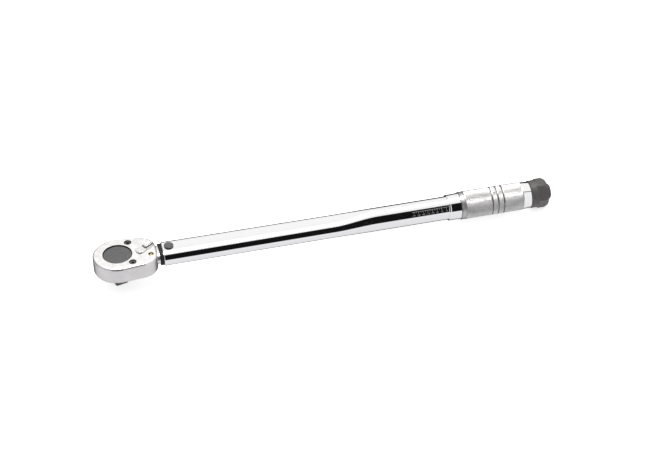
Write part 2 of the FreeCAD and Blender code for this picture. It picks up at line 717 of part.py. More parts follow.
def knob_insert():
    """The threaded metal insert moulded into the knob."""
    shape = hexagon(7.0, KNOB_X + 1.1, KNOB_X + 13.0, 0.0)
    return shape.cut(along(STUD_RADIUS + RUNNING, KNOB_X, KNOB_X + 14.0))


def end_cap():
    """The domed plug that closes the knob."""
    plug_start = KNOB_END_X - 2.2
    return turned([
        (plug_start, 0), (plug_start, 5.0), (KNOB_END_X, 5.0), (KNOB_END_X, CAP_RADIUS),
        (END_X - 1.1, CAP_RADIUS), (END_X - 0.4, CAP_RADIUS - 0.45), (END_X - 0.12, CAP_RADIUS - 1.5),
        (END_X, 4.0), (END_X, 0),
    ])


PIECES = (
    tube, pivot_pin, threaded_insert, insert_pins,
    head_body, cover_plate, cover_screws, stop_pin, neck_seal,
    drive_gear, drive_ball, ball_spring, pawl,
    reversing_lever, lever_inlay, lever_ring, selector_plunger, selector_spring,
    tilt_block, plunger, main_spring, spring_seat, thrust_ball,
    adjusting_screw, thimble, grip, handle_nut,
    lock_washer, lock_knob, knob_insert, end_cap,
)


def export(piece):
    shape = piece()
    shape.translate(vec(0, 0, AXIS_HEIGHT))
    shape.exportStep("parts/" + piece.__name__ + ".step")
    box = shape.BoundBox
    spans = [round(v, 2) for v in (box.XMin, box.XMax, box.YMin, box.YMax, box.ZMin, box.ZMax)]
    print(piece.__name__, "solids", len(shape.Solids), "valid", shape.isValid(), spans)


os.makedirs("parts", exist_ok=True)
for piece in PIECES:
    export(piece)
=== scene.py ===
import json
import math

import bmesh
import bpy
from mathutils import Matrix, Vector


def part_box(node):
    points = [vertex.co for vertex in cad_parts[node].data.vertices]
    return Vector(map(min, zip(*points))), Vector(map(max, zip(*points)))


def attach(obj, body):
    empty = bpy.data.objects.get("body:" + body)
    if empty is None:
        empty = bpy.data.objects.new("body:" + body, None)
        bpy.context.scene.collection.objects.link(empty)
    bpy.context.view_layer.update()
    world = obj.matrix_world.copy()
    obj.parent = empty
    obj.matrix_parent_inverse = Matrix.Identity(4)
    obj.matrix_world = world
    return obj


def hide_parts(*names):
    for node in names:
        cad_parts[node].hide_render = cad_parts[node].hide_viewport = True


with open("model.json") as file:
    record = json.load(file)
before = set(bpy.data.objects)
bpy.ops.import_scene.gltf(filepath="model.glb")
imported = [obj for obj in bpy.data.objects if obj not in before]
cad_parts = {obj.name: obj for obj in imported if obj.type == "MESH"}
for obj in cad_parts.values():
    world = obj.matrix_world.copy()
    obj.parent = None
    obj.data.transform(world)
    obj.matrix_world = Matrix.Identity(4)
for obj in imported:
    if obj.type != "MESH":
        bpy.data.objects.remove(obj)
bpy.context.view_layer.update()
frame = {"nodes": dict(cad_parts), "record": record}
nodes = frame["nodes"]

# The looks of the click torque wrench.  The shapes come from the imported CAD
# frame; this file adds the finishes, the knurled sleeve, the scale and the
# studio.  Lengths are metres in the wrench's own frame: +X from the drive
# axis to the handle, +Z towards the reversing lever.

MM = 0.001
TUBE_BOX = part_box("tube")
GRIP_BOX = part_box("grip")
AXIS_Z = (TUBE_BOX[0].z + TUBE_BOX[1].z) / 2.0
HEAD_TOP_Z = 2.0 * AXIS_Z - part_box("head_body")[0].z
DISC_HOLE_RADIUS = 14.55 * MM
SCREW_HEAD_RADIUS = 3.2 * MM
SCREW_RECESS_RADIUS = 3.75 * MM
PIN_RECESS_RADIUS = 2.65 * MM
HOLE_LAP = 0.06 * MM           # the painted shade reaches this far past a recess's edge
RECESS_SHADE_DEPTH = 0.12 * MM      # the painted shade starts this far down a recess

# ---- the tube's pressed oval (see the CAD: flat, then eased to round) -----
CROWN = math.radians(6.0)      # half angle of the flats' slight crown
FLAT_END = 214.0 * MM
ROUND_START = 260.0 * MM
FRONT_THICKNESS = 17.4 * MM
FLAT_WIDTH = 26.5 * MM
FLAT_THICKNESS = 17.6 * MM
WALL = 2.0 * MM
RIM = 0.8 * MM
RIM_FACETS = 8
TUBE_SPOKES = 240
FRONT_WIDTH = TUBE_BOX[1].y - TUBE_BOX[0].y

# ---- the knurled sleeve ---------------------------------------------------
KNURL_SPOKES = 208             # two per diamond
KNURL_DEPTH = 0.17 * MM
BAND_TAPER = 0.3 * MM
KNURL_ZONES = ((350.2, 376.2), (378.0, 382.1), (383.9, 388.1), (389.9, 409.0))   # mm along the axis
VALLEY = 0.75 * MM             # depth of the plain turning between two knurl zones
CHAMFER = 0.25 * MM            # from a zone's last diamonds to their root, and on to the valley
RUNOUT = 0.55 * MM
RINGS = (345.9, 347.3, 348.7)  # mm; the fine grooves ahead of the knurl
RING_DEPTH = 0.4 * MM
PLAIN_INSET = 0.3 * MM         # the plain front lies this far inside the knurl
BAND_INSET = 0.55 * MM
SLEEVE_BORE = 12.2 * MM        # radii of the sleeve's bore, from the front to the back
SLEEVE_MOUTH = 12.6 * MM
SLEEVE_SOCKET = 9.2 * MM
SLEEVE_STUD_HOLE = 6.0 * MM
MOUTH_DEPTH = 7.0 * MM
SOCKET_DEPTH = 5.4 * MM
WEB_DEPTH = 10.2 * MM
# the third finish, black oxide, is painted shade in the grooves and at the front gap
SLEEVE_FINISHES_AND_SHADE = ("knurled_chrome", "chrome_tube", "black_oxide")
# where the painted shade lies: the groove middles in mm and their half width
GROOVES = (377.1, 383.0, 389.0)
GROOVE_HALF_WIDTH = 0.36 * MM
BAND_LENGTH = 8.6 * MM
# the painted shade covers this much of the sleeve's front edge
FRONT_GAP = 0.6 * MM

# ---- the end cap ----------------------------------------------------------
CAP_SPOKES = 144               # four per ridge
RIDGE_DEPTH = 0.22 * MM
CAP_SOCKET = 5.0 * MM
CAP_SOCKET_DEPTH = 2.2 * MM
# (drop from the back end, inset from the rim) of the dome, in mm
CAP_CROWN = ((0.9, 0.35), (0.55, 0.75), (0.3, 1.4), (0.12, 2.4), (0.03, 3.6), (0.0, 5.2))

# ---- the etched scale -----------------------------------------------------
LOWEST_SETTING = 28            # newton metres at the collar, rising towards the head
SETTING_STEP = 13
SCALE_MARKS = 15
SCALE_SPACING = 2.4 * MM
SCALE_START = 2.6 * MM         # from the collar to the first mark
SCALE_LENGTH = 38.0 * MM
SCALE_HALF_LINE = 0.14 * MM
LONG_MARK = 2.3 * MM
SHORT_MARK = 1.3 * MM
NUMERAL_SIZE = 2.1 * MM
NUMERAL_OFFSET = 3.7 * MM      # from the datum line to the middle of a number
DATUM_ANGLE = math.radians(42.0)   # of the datum line, above the near horizontal
MARK_LOW = -0.05 * MM          # the marks' floor and face, from the surface that they lie on
MARK_HIGH = 0.015 * MM
COLLAR_MARKS = 18
COLLAR_RADIUS = 13.1 * MM
COLLAR_HALF_LINE = 0.11 * MM
COLLAR_MARK = (0.55 * MM, 1.5 * MM)   # from the collar's front edge

# ---- the studio -----------------------------------------------------------
# (angle about the tube's axis, grey), for directions along, right and left of it
TENT_MIDDLE = (
    (-180.0, 0.05), (-140.0, 0.08), (-106.0, 0.22), (-96.0, 0.80), (-9.0, 0.86),
    (-6.0, 0.006), (62.0, 0.006), (64.0, 0.95), (150.0, 1.0), (163.0, 0.9), (169.0, 0.04), (180.0, 0.05),
)
TENT_RIGHT = (
    (-180.0, 0.05), (-140.0, 0.08), (-106.0, 0.25), (-96.0, 0.85), (60.0, 0.95),
    (62.0, 0.03), (67.0, 0.03), (69.0, 1.0), (160.0, 1.0), (169.0, 0.04), (180.0, 0.05),
)
TENT_LEFT = (
    (-180.0, 0.03), (-172.0, 0.03), (-160.0, 0.8), (-20.0, 0.9), (60.0, 0.5), (135.0, 0.8),
    (152.0, 0.03), (180.0, 0.03),
)
PANEL_END = (0.29, 0.305)      # the directions' X over which the middle turns into the right
LEFT_END = (-0.62, -0.50)
FLOOR_HALF_SIZE = 12.0
FLOOR_GAP = 0.1 * MM
FLOOR_GLOW = 0.68
CAMERA_PLACE = (-0.1387, -1.5248, 1.2268)
CAMERA_RIGHT = (0.972, -0.234, -0.019)
CAMERA_UP = (0.159, 0.596, 0.788)
CAMERA_LENS = 111.63
CAMERA_SENSOR = 36.0


# ---- shader helpers -----------------------------------------------------
class Finish:
    """A Principled material, with the few node patterns that the metals and plastics share."""

    def __init__(self, name, color, roughness, metallic=1.0, **sockets):
        self.material = bpy.data.materials.new(name)
        self.material.use_nodes = True
        self.tree = self.material.node_tree
        self.shader = self.tree.nodes["Principled BSDF"]
        self.shader.inputs["Base Color"].default_value = (*color, 1.0)
        self.shader.inputs["Roughness"].default_value = roughness
        self.shader.inputs["Metallic"].default_value = metallic
        for socket, value in sockets.items():
            self.shader.inputs[socket.replace("_", " ")].default_value = value

    def node(self, kind, **settings):
        made = self.tree.nodes.new(kind)
        for key, value in settings.items():
            setattr(made, key, value)
        return made

    def link(self, source, target):
        self.tree.links.new(source, target)

    def compute(self, operation, first, second):
        """One arithmetic node; second is a socket or a number."""
        made = self.node("ShaderNodeMath", operation=operation)
        self.link(first, made.inputs[0])
        if isinstance(second, float):
            made.inputs[1].default_value = second
        else:
            self.link(second, made.inputs[1])
        return made.outputs["Value"]

    def place(self, stretch=(1.0, 1.0, 1.0)):
        """Object coordinates, scaled along each axis, so the pattern moves with the piece."""
        coordinates = self.node("ShaderNodeTexCoord")
        mapping = self.node("ShaderNodeMapping")
        mapping.inputs["Scale"].default_value = stretch
        self.link(coordinates.outputs["Object"], mapping.inputs["Vector"])
        return mapping.outputs["Vector"]

    def noise(self, size, detail=3.0, stretch=(1.0, 1.0, 1.0), roughness=0.55):
        """Noise whose grains are about size metres across."""
        texture = self.node("ShaderNodeTexNoise")
        texture.inputs["Scale"].default_value = 1.0 / size
        texture.inputs["Detail"].default_value = detail
        texture.inputs["Roughness"].default_value = roughness
        self.link(self.place(stretch), texture.inputs["Vector"])
        return texture.outputs["Fac"]

    def rings(self, spacing, axis="Z", distortion=0.4):
        """Turning marks: fine rings about an axis through the drive."""
        texture = self.node("ShaderNodeTexWave", wave_type="RINGS", rings_direction=axis)
        texture.inputs["Scale"].default_value = 1.0 / (spacing * 6.4)
        texture.inputs["Distortion"].default_value = distortion
        texture.inputs["Detail"].default_value = 2.0
        self.link(self.place(), texture.inputs["Vector"])
        return texture.outputs["Fac"]

    def spread(self, pattern, low, high, start=0.3, end=0.7):
        """The pattern stretched over the numbers low to high."""
        span = self.node("ShaderNodeMapRange")
        span.inputs["From Min"].default_value = start
        span.inputs["From Max"].default_value = end
        span.inputs["To Min"].default_value = low
        span.inputs["To Max"].default_value = high
        self.link(pattern, span.inputs["Value"])
        return span.outputs["Result"]

    def rough(self, pattern, low, high):
        self.link(self.spread(pattern, low, high), self.shader.inputs["Roughness"])
        return self

    def tint(self, pattern, dark, light, start=0.3, end=0.7):
        """Colour that wanders between two tones."""
        ramp = self.node("ShaderNodeValToRGB")
        ramp.color_ramp.elements[0].position = start
        ramp.color_ramp.elements[0].color = (*dark, 1.0)
        ramp.color_ramp.elements[1].position = end
        ramp.color_ramp.elements[1].color = (*light, 1.0)
        self.link(pattern, ramp.inputs["Fac"])
        self.link(ramp.outputs["Color"], self.shader.inputs["Base Color"])
        return self

    def bump(self, pattern, height, strength=1.0):
        """Relief of the given height in metres; calls stack up."""
        relief = self.node("ShaderNodeBump")
        relief.inputs["Distance"].default_value = height
        relief.inputs["Strength"].default_value = strength
        self.link(pattern, relief.inputs["Height"])
        socket = self.shader.inputs["Normal"]
        if socket.is_linked:
            self.link(socket.links[0].from_socket, relief.inputs["Normal"])
        self.link(relief.outputs["Normal"], socket)
        return self


# ---- finishes -----------------------------------------------------------
def paint_recess_shade(finish, holes, top, color):
    """Painted shade: a near-black tone inside the holes of the plated head, where the recesses lie in
    shade.

    Each hole is (x, y, radius); the painted shade starts a little below top.
    """
    split = finish.node("ShaderNodeSeparateXYZ")
    finish.link(finish.place(), split.inputs["Vector"])
    plan = finish.node("ShaderNodeCombineXYZ")
    finish.link(split.outputs["X"], plan.inputs["X"])
    finish.link(split.outputs["Y"], plan.inputs["Y"])
    inside = None
    for x, y, radius in holes:
        reach = finish.node("ShaderNodeVectorMath", operation="DISTANCE")
        finish.link(plan.outputs["Vector"], reach.inputs[0])
        reach.inputs[1].default_value = (x, y, 0.0)
        within = finish.compute("LESS_THAN", reach.outputs["Value"], radius + HOLE_LAP)
        inside = within if inside is None else finish.compute("MAXIMUM", inside, within)
    below = finish.compute("LESS_THAN", split.outputs["Z"], top - RECESS_SHADE_DEPTH)
    blend = finish.node("ShaderNodeMix", data_type="RGBA")
    finish.link(finish.compute("MULTIPLY", inside, below), blend.inputs["Factor"])
    finish.link(finish.shader.inputs["Base Color"].links[0].from_socket, blend.inputs[6])
    blend.inputs[7].default_value = (*color, 1.0)
    finish.link(blend.outputs[2], finish.shader.inputs["Base Color"])


def head_holes():
    """The disc's hole, the two screw recesses and the brass pin's recess, as (x, y, radius)."""
    screw_low, screw_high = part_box("cover_screws")
    pin_low, pin_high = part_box("stop_pin")
    screw_x = (screw_low.x + screw_high.x) / 2.0
    screw_y = screw_high.y - SCREW_HEAD_RADIUS
    pin = (pin_low + pin_high) / 2.0
    return (
        (0.0, 0.0, DISC_HOLE_RADIUS),
        (screw_x, screw_y, SCREW_RECESS_RADIUS),
        (screw_x, -screw_y, SCREW_RECESS_RADIUS),
        (pin.x, pin.y, PIN_RECESS_RADIUS),
    )


def satin_chrome():
    """Satin plate on the forged head: fine blasted grain, a few cloudy handling marks, and painted shade
    in its holes.
    """
    finish = Finish("satin_chrome", (0.79, 0.775, 0.765), 0.3)
    finish.tint(finish.noise(9 * MM, 4.0), (0.70, 0.685, 0.675), (0.775, 0.76, 0.75))
    finish.rough(finish.noise(5 * MM, 5.0), 0.25, 0.36)
    finish.bump(finish.noise(0.35 * MM, 2.0), 0.006 * MM)
    finish.bump(finish.noise(7 * MM, 2.0), 0.05 * MM, 0.6)
    # painted shade: near black inside the disc's hole, the two screw recesses and the brass pin's recess
    paint_recess_shade(finish, head_holes(), HEAD_TOP_Z, (0.035, 0.034, 0.033))
    return finish.material


def bright_chrome(name, color, low, high):
    """Mirror plate with faint polishing lines along the tube and light smears."""
    finish = Finish(name, color, low)
    finish.rough(finish.noise(14 * MM, 4.0), low, high)
    return finish.bump(finish.noise(0.5 * MM, 2.0, (0.02, 1.0, 1.0)), 0.0012 * MM).material


def knurl_chrome():
    """Satin plate over the knurl, in grey tones that wander at random, drawn out along the tube."""
    finish = Finish("knurl_chrome", (0.86, 0.85, 0.84), 0.3)
    finish.tint(finish.noise(5 * MM, 5.0, (0.3, 1.0, 1.0)), (0.50, 0.49, 0.48), (0.70, 0.69, 0.68))
    finish.rough(finish.noise(3 * MM, 4.0), 0.24, 0.42)
    return finish.material


def black_oxide():
    """Oiled black oxide with turning rings, a little worn to grey."""
    finish = Finish("black_oxide", (0.08, 0.08, 0.082), 0.45, 0.75)
    finish.tint(finish.noise(1.6 * MM, 6.0), (0.055, 0.055, 0.058), (0.115, 0.112, 0.11))
    finish.rough(finish.noise(3 * MM, 4.0), 0.38, 0.56)
    finish.bump(finish.rings(0.35 * MM), 0.006 * MM)
    return finish.bump(finish.noise(0.3 * MM, 2.0), 0.008 * MM).material


def machined(name, color, low, high, spacing):
    """Turned metal with fine rings and uneven polish."""
    finish = Finish(name, color, low)
    finish.rough(finish.noise(2.5 * MM, 4.0), low, high)
    finish.bump(finish.rings(spacing), 0.004 * MM)
    return finish.bump(finish.noise(0.25 * MM, 2.0), 0.004 * MM).material


def black_rubber():
    finish = Finish("black_rubber", (0.01, 0.01, 0.011), 0.6, 0.0, Specular_IOR_Level=0.2)
    finish.tint(finish.noise(2 * MM, 5.0), (0.006, 0.006, 0.0065), (0.014, 0.014, 0.015))
    finish.rough(finish.noise(1.5 * MM, 4.0), 0.5, 0.75)
    return finish.bump(finish.noise(0.4 * MM, 3.0), 0.02 * MM).material


def black_plastic():
    """Moulded plastic with a sparkled grain and slightly polished high spots."""
    finish = Finish("black_plastic", (0.055, 0.05, 0.05), 0.45, 0.0)
    sparkle = finish.noise(0.55 * MM, 4.0, roughness=0.7)
    finish.tint(sparkle, (0.03, 0.027, 0.027), (0.085, 0.078, 0.077))
    finish.rough(finish.noise(0.9 * MM, 4.0), 0.30, 0.5)
    return finish.bump(finish.noise(0.4 * MM, 3.0), 0.015 * MM).material


def etched():
    """The frosted metal at the bottom of the etched marks."""
    finish = Finish("etched", (0.5, 0.5, 0.49), 0.55)
    finish.rough(finish.noise(0.6 * MM, 3.0), 0.48, 0.66)
    return finish.bump(finish.noise(0.15 * MM, 2.0), 0.01 * MM).material


FINISHES = {
    "satin_chrome": satin_chrome(),
    "chrome_tube": bright_chrome("chrome_tube", (0.93, 0.925, 0.92), 0.04, 0.075),
    "lever_chrome": bright_chrome("lever_chrome", (0.86, 0.85, 0.83), 0.10, 0.18),
    "knurled_chrome": knurl_chrome(),
    "black_oxide": black_oxide(),
    "steel": machined("steel", (0.56, 0.56, 0.57), 0.22, 0.38, 0.3 * MM),
    "spring_steel": machined("spring_steel", (0.30, 0.30, 0.32), 0.32, 0.48, 0.6 * MM),
    "brass": machined("brass", (0.50, 0.36, 0.16), 0.25, 0.4, 0.25 * MM),
    "black_rubber": black_rubber(),
    "black_plastic": black_plastic(),
    "etched": etched(),
}


def dress_cad_nodes():
    """Every CAD node takes the finish of its material slot in the record."""
    for part in frame["record"]["subparts"]:
        mesh = nodes[part["node"]].data
        mesh.materials.clear()
        mesh.materials.append(FINISHES[part["material_slot"]])


# ---- swept meshes -------------------------------------------------------
def swept_mesh(name, rings, closed, split=None):
    """Joins equal rings of points into a skin.

    closed joins the last ring to the first; otherwise both ends get a cap.
    split(row) says that a row of faces is cut into triangles, diamond fashion.
    """
    mesh = bpy.data.meshes.new(name)
    build = bmesh.new()
    rows = [[build.verts.new(point) for point in ring] for ring in rings]
    spokes = len(rings[0])
    for row in range(len(rows) if closed else len(rows) - 1):
        ring = rows[row]
        after = rows[(row + 1) % len(rows)]
        for spoke in range(spokes):
            beside = (spoke + 1) % spokes
            corners = (ring[spoke], after[spoke], after[beside], ring[beside])
            if not (split and split(row)):
                build.faces.new(corners)
            elif (row + spoke) % 2 == 0:
                build.faces.new((corners[0], corners[1], corners[2]))
                build.faces.new((corners[0], corners[2], corners[3]))
            else:
                build.faces.new((corners[0], corners[1], corners[3]))
                build.faces.new((corners[1], corners[2], corners[3]))
    if not closed:
        build.faces.new(rows[0])
        build.faces.new(rows[-1])
    bmesh.ops.recalc_face_normals(build, faces=build.faces)
    build.to_mesh(mesh)
    build.free()
    return mesh


def round_ring(x, radius, spokes, relief=None):
    """Points round the tube's axis; relief(spoke) is how far each one sinks."""
    points = []
    for spoke in range(spokes):
        angle = 2.0 * math.pi * spoke / spokes
        reach = radius - (relief(spoke) if relief else 0.0)
        points.append((x, reach * math.cos(angle), AXIS_Z + reach * math.sin(angle)))
    return points


def add_piece(name, mesh, finishes, body):
    """Puts a mesh in the scene as a piece that rides on a CAD body."""
    piece = bpy.data.objects.new(name, mesh)
    bpy.context.scene.collection.objects.link(piece)
    for finish in finishes:
        mesh.materials.append(FINISHES[finish])
    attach(piece, body)
    return piece


def shade(mesh, sharp_degrees=30.0):
    """Smooth faces with crisp corners."""
    mesh.polygons.foreach_set("use_smooth", [True] * len(mesh.polygons))
    mesh.set_sharp_from_angle(angle=math.radians(sharp_degrees))


# ---- tube ---------------------------------------------------------------
def oval_ring(x, spacing, radius):
    """The tube's section: two side arcs at +-spacing, joined by shallow crowned flats.

    Points are spaced evenly by the direction that the surface faces.
    """
    flat_radius = spacing / math.sin(CROWN) + radius
    flat_centre = radius + spacing * math.tan(CROWN / 2.0) - flat_radius
    points = []
    for spoke in range(TUBE_SPOKES):
        facing = 2.0 * math.pi * spoke / TUBE_SPOKES
        side, rise = math.sin(facing), math.cos(facing)
        if abs(side) <= math.sin(CROWN):
            y = flat_radius * side
            z = math.copysign(flat_centre + flat_radius * abs(rise), rise)
        else:
            y = math.copysign(spacing, side) + radius * side
            z = radius * rise
        points.append((x, y, AXIS_Z + z))
    return points


def oval_arcs(width, thickness):
    spacing = (width - thickness) / 2.0 / (1.0 - math.tan(CROWN / 2.0))
    return spacing, width / 2.0 - spacing


def tube_section(x, inset):
    """The ring at x, moved in from the outer surface by inset."""
    low, high = TUBE_BOX
    if x <= FLAT_END:
        share = (x - low.x) / (FLAT_END - low.x)
        width = FRONT_WIDTH + share * (FLAT_WIDTH - FRONT_WIDTH)
        thickness = FRONT_THICKNESS + share * (FLAT_THICKNESS - FRONT_THICKNESS)
        spacing, radius = oval_arcs(width, thickness)
        return oval_ring(x, spacing, radius - inset)
    spacing, radius = oval_arcs(FLAT_WIDTH, FLAT_THICKNESS)
    share = min(1.0, (x - FLAT_END) / (ROUND_START - FLAT_END))
    ease = share * share * (3.0 - 2.0 * share)
    tube_radius = high.z - AXIS_Z
    return oval_ring(x, spacing * (1.0 - ease), radius + ease * (tube_radius - radius) - inset)


def steps(start, end, count):
    """count + 1 even stations from start to end."""
    return [start + (end - start) * k / count for k in range(count + 1)]


def make_tube():
    """The chromed tube with a rolled front rim, drawn finely enough to mirror the studio cleanly."""
    low, high = TUBE_BOX
    rings = [tube_section(low.x, WALL), tube_section(low.x, RIM)]
    for facet in range(1, RIM_FACETS):
        turn = math.radians(90.0) * facet / RIM_FACETS
        x = low.x + RIM * (1.0 - math.cos(turn))
        rings.append(tube_section(x, RIM * (1.0 - math.sin(turn))))
    stations = steps(low.x + RIM, FLAT_END, 16) + steps(FLAT_END, ROUND_START, 72)[1:]
    stations += steps(ROUND_START, high.x, 8)[1:]
    rings += [tube_section(x, 0.0) for x in stations]
    rings += [tube_section(x, WALL) for x in reversed(stations[::4])]
    mesh = swept_mesh("tube_shell", rings, True)
    shade(mesh)
    piece = add_piece("tube_shell", mesh, ("chrome_tube",), "tube_body")
    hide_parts("tube")


# ---- handle -------------------------------------------------------------
def knurl_zone(start, end, radius):
    """One band of diamonds, with a chamfer down to the plain turning at each end."""
    row_step = 2.0 * math.pi * radius / KNURL_SPOKES
    count = round((end - start) / row_step)
    low, root = radius - VALLEY, radius - KNURL_DEPTH
    zone = [(start - RUNOUT, low, False), (start - CHAMFER, root, False)]
    zone += [(x, radius, True) for x in steps(start, end, count)]
    return zone + [(end + CHAMFER, root, False), (end + RUNOUT, low, False)]


def sleeve_front(plain):
    """(x, radius) from the mouth over the plain front and its three fine grooves."""
    low = GRIP_BOX[0]
    outline = [(low.x, SLEEVE_MOUTH), (low.x, plain - 0.5 * MM), (low.x + 0.5 * MM, plain)]
    for ring in RINGS:
        x = ring * MM
        outline += [(x - RING_DEPTH, plain), (x, plain - RING_DEPTH), (x + RING_DEPTH, plain)]
    return outline


def sleeve_back(band):
    """(x, radius) over the bright band and back through the bore to the mouth."""
    low, high = GRIP_BOX
    socket, web, mouth = high.x - SOCKET_DEPTH, high.x - WEB_DEPTH, low.x + MOUTH_DEPTH
    tail = band - BAND_TAPER
    return [
        (high.x - 8.5 * MM, band - 0.6 * MM), (high.x - 8.3 * MM, band),
        (high.x - 0.6 * MM, tail), (high.x - 0.2 * MM, tail - 0.2 * MM), (high.x, band - 0.6 * MM),
        (high.x, SLEEVE_SOCKET), (socket, SLEEVE_SOCKET), (socket, SLEEVE_STUD_HOLE),
        (web, SLEEVE_STUD_HOLE), (web, SLEEVE_BORE), (mouth, SLEEVE_BORE), (mouth, SLEEVE_MOUTH),
    ]


def sleeve_stations():
    """(x, radius, knurled) from the sleeve's front edge round its outside and back up its bore."""
    radius = GRIP_BOX[1].z - AXIS_Z
    outline = [(x, r, False) for x, r in sleeve_front(radius - PLAIN_INSET)]
    for start, end in KNURL_ZONES:
        outline += knurl_zone(start * MM, end * MM, radius)
    return outline + [(x, r, False) for x, r in sleeve_back(radius - BAND_INSET)]


def sleeve_finish_or_shade(x):
    """Painted shade (black oxide) in the grooves and at the front gap, bright on the rear band, knurled
    between.
    """
    if x > GRIP_BOX[1].x - BAND_LENGTH:
        return 1
    # finish 2, black oxide, is painted shade in the groove valleys and at the sleeve's front edge
    in_groove = any(abs(x - groove * MM) < GROOVE_HALF_WIDTH for groove in GROOVES)
    if in_groove or x < GRIP_BOX[0].x + FRONT_GAP:
        return 2
    return 0


def make_sleeve():
    """The knurled sleeve: real diamonds between turned rings, grooves and a bright band."""
    stations = sleeve_stations()
    reliefs = [lambda spoke: KNURL_DEPTH * (1 - spoke % 2), lambda spoke: KNURL_DEPTH * (spoke % 2)]
    rings = []
    for row, (x, radius, knurled) in enumerate(stations):
        rings.append(round_ring(x, radius, KNURL_SPOKES, reliefs[row % 2] if knurled else None))

    def in_knurl(row):
        return stations[row][2] and stations[(row + 1) % len(stations)][2]

    mesh = swept_mesh("knurled_sleeve", rings, True, in_knurl)
    shade(mesh, 25.0)
    for face in mesh.polygons:
        face.material_index = sleeve_finish_or_shade(face.center.x)
    piece = add_piece("knurled_sleeve", mesh, SLEEVE_FINISHES_AND_SHADE, "handle")
    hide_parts("grip")


def make_cap():
    """The domed end cap with fine moulded ridges round its rim."""
    low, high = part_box("end_cap")
    radius = high.z - AXIS_Z
    shoulder = low.x + CAP_SOCKET_DEPTH

    def ridge(spoke):
        return RIDGE_DEPTH if spoke % 4 in (0, 1) else 0.0

    rings = [round_ring(low.x, CAP_SOCKET, CAP_SPOKES), round_ring(shoulder, CAP_SOCKET, CAP_SPOKES)]
    rings.append(round_ring(shoulder, radius - 0.3 * MM, CAP_SPOKES))
    for x in steps(shoulder + 0.4 * MM, high.x - 1.3 * MM, 3):
        rings.append(round_ring(x, radius, CAP_SPOKES, ridge))
    for drop, inset in CAP_CROWN:
        rings.append(round_ring(high.x - drop * MM, radius - inset * MM, CAP_SPOKES))
    mesh = swept_mesh("ridged_cap", rings, False)
    shade(mesh)
    piece = add_piece("ridged_cap", mesh, ("black_plastic",), "lock")
    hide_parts("end_cap")


# ---- etched scale -------------------------------------------------------
def wrap(mesh, x, facing, radius):
    """Bends a flat drawing (u along the tube, v round it, w outwards) onto the tube.

    facing is the angle of the drawing's middle above the horizontal, on the near side.
    """
    for vertex in mesh.vertices:
        u, v, w = vertex.co
        angle = facing + v / radius
        reach = radius + w
        vertex.co = (x + u, -reach * math.cos(angle), AXIS_Z + reach * math.sin(angle))
    mesh.update()


def stroke(u0, u1, v0, v1):
    """A thin bar, cut into short lengths round the tube so that it can bend."""
    slices = max(1, math.ceil((v1 - v0) / (0.6 * MM)))
    rings = []
    for v in steps(v0, v1, slices):
        rings.append([(u0, v, MARK_LOW), (u1, v, MARK_LOW), (u1, v, MARK_HIGH), (u0, v, MARK_HIGH)])
    return swept_mesh("stroke", rings, False)


def numeral(text, size):
    """A number in the plain built-in font, as a thin solid centred on its place."""
    curve = bpy.data.curves.new("numeral", "FONT")
    curve.body = text
    curve.size = size
    curve.align_x = "CENTER"
    curve.align_y = "CENTER"
    curve.extrude = (MARK_HIGH - MARK_LOW) / 2.0
    curve.resolution_u = 3
    holder = bpy.data.objects.new("numeral", curve)
    mesh = bpy.data.meshes.new_from_object(holder)
    bpy.data.objects.remove(holder)
    for vertex in mesh.vertices:
        vertex.co.z += (MARK_HIGH + MARK_LOW) / 2.0
    slice_across(mesh, size)
    return mesh


def slice_across(mesh, size):
    """Cuts a flat drawing into narrow strips, so that its long edges can bend round the tube."""
    build = bmesh.new()
    build.from_mesh(mesh)
    for v in steps(-size / 2.0, size / 2.0, 10):
        whole = build.verts[:] + build.edges[:] + build.faces[:]
        bmesh.ops.bisect_plane(build, geom=whole, plane_co=(0.0, v, 0.0), plane_no=(0.0, 1.0, 0.0))
    build.to_mesh(mesh)
    build.free()


def join_marks(name, marks, radius, body):
    """One piece from many marks, each (flat mesh, x, facing)."""
    build = bmesh.new()
    for mesh, x, facing in marks:
        wrap(mesh, x, facing, radius)
        build.from_mesh(mesh)
        bpy.data.meshes.remove(mesh)
    bmesh.ops.remove_doubles(build, verts=build.verts, dist=1e-7)
    bmesh.ops.recalc_face_normals(build, faces=build.faces)
    joined = bpy.data.meshes.new(name)
    build.to_mesh(joined)
    build.free()
    add_piece(name, joined, ("etched",), body)


def make_scale():
    """The main scale along the tube: a datum line, graduations and their numbers."""
    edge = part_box("thimble")[0].x
    tube_radius = TUBE_BOX[1].z - AXIS_Z
    line = SCALE_HALF_LINE
    marks = [(stroke(-SCALE_LENGTH, -1.0 * MM, -line, line), edge, DATUM_ANGLE)]
    for index in range(SCALE_MARKS):
        x = edge - SCALE_START - SCALE_SPACING * index
        numbered = index % 2 == 0
        length = LONG_MARK if numbered else SHORT_MARK
        marks.append((stroke(-line, line, -length, 0.0), x, DATUM_ANGLE))
        if numbered:
            figure = numeral(str(LOWEST_SETTING + SETTING_STEP * index), NUMERAL_SIZE)
            marks.append((figure, x, DATUM_ANGLE - NUMERAL_OFFSET / tube_radius))
    join_marks("tube_scale", marks, tube_radius, "tube_body")


def make_collar_marks():
    """The fine graduations round the collar's front edge; one meets the datum line."""
    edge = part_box("thimble")[0].x
    start, end = COLLAR_MARK
    line = COLLAR_HALF_LINE
    marks = []
    for index in range(COLLAR_MARKS):
        facing = DATUM_ANGLE + 2.0 * math.pi * index / COLLAR_MARKS
        marks.append((stroke(0.0, end - start, -line, line), edge + start, facing))
    join_marks("collar_marks", marks, COLLAR_RADIUS, "handle")


make_tube()
make_sleeve()
make_cap()
make_scale()
make_collar_marks()
dress_cad_nodes()


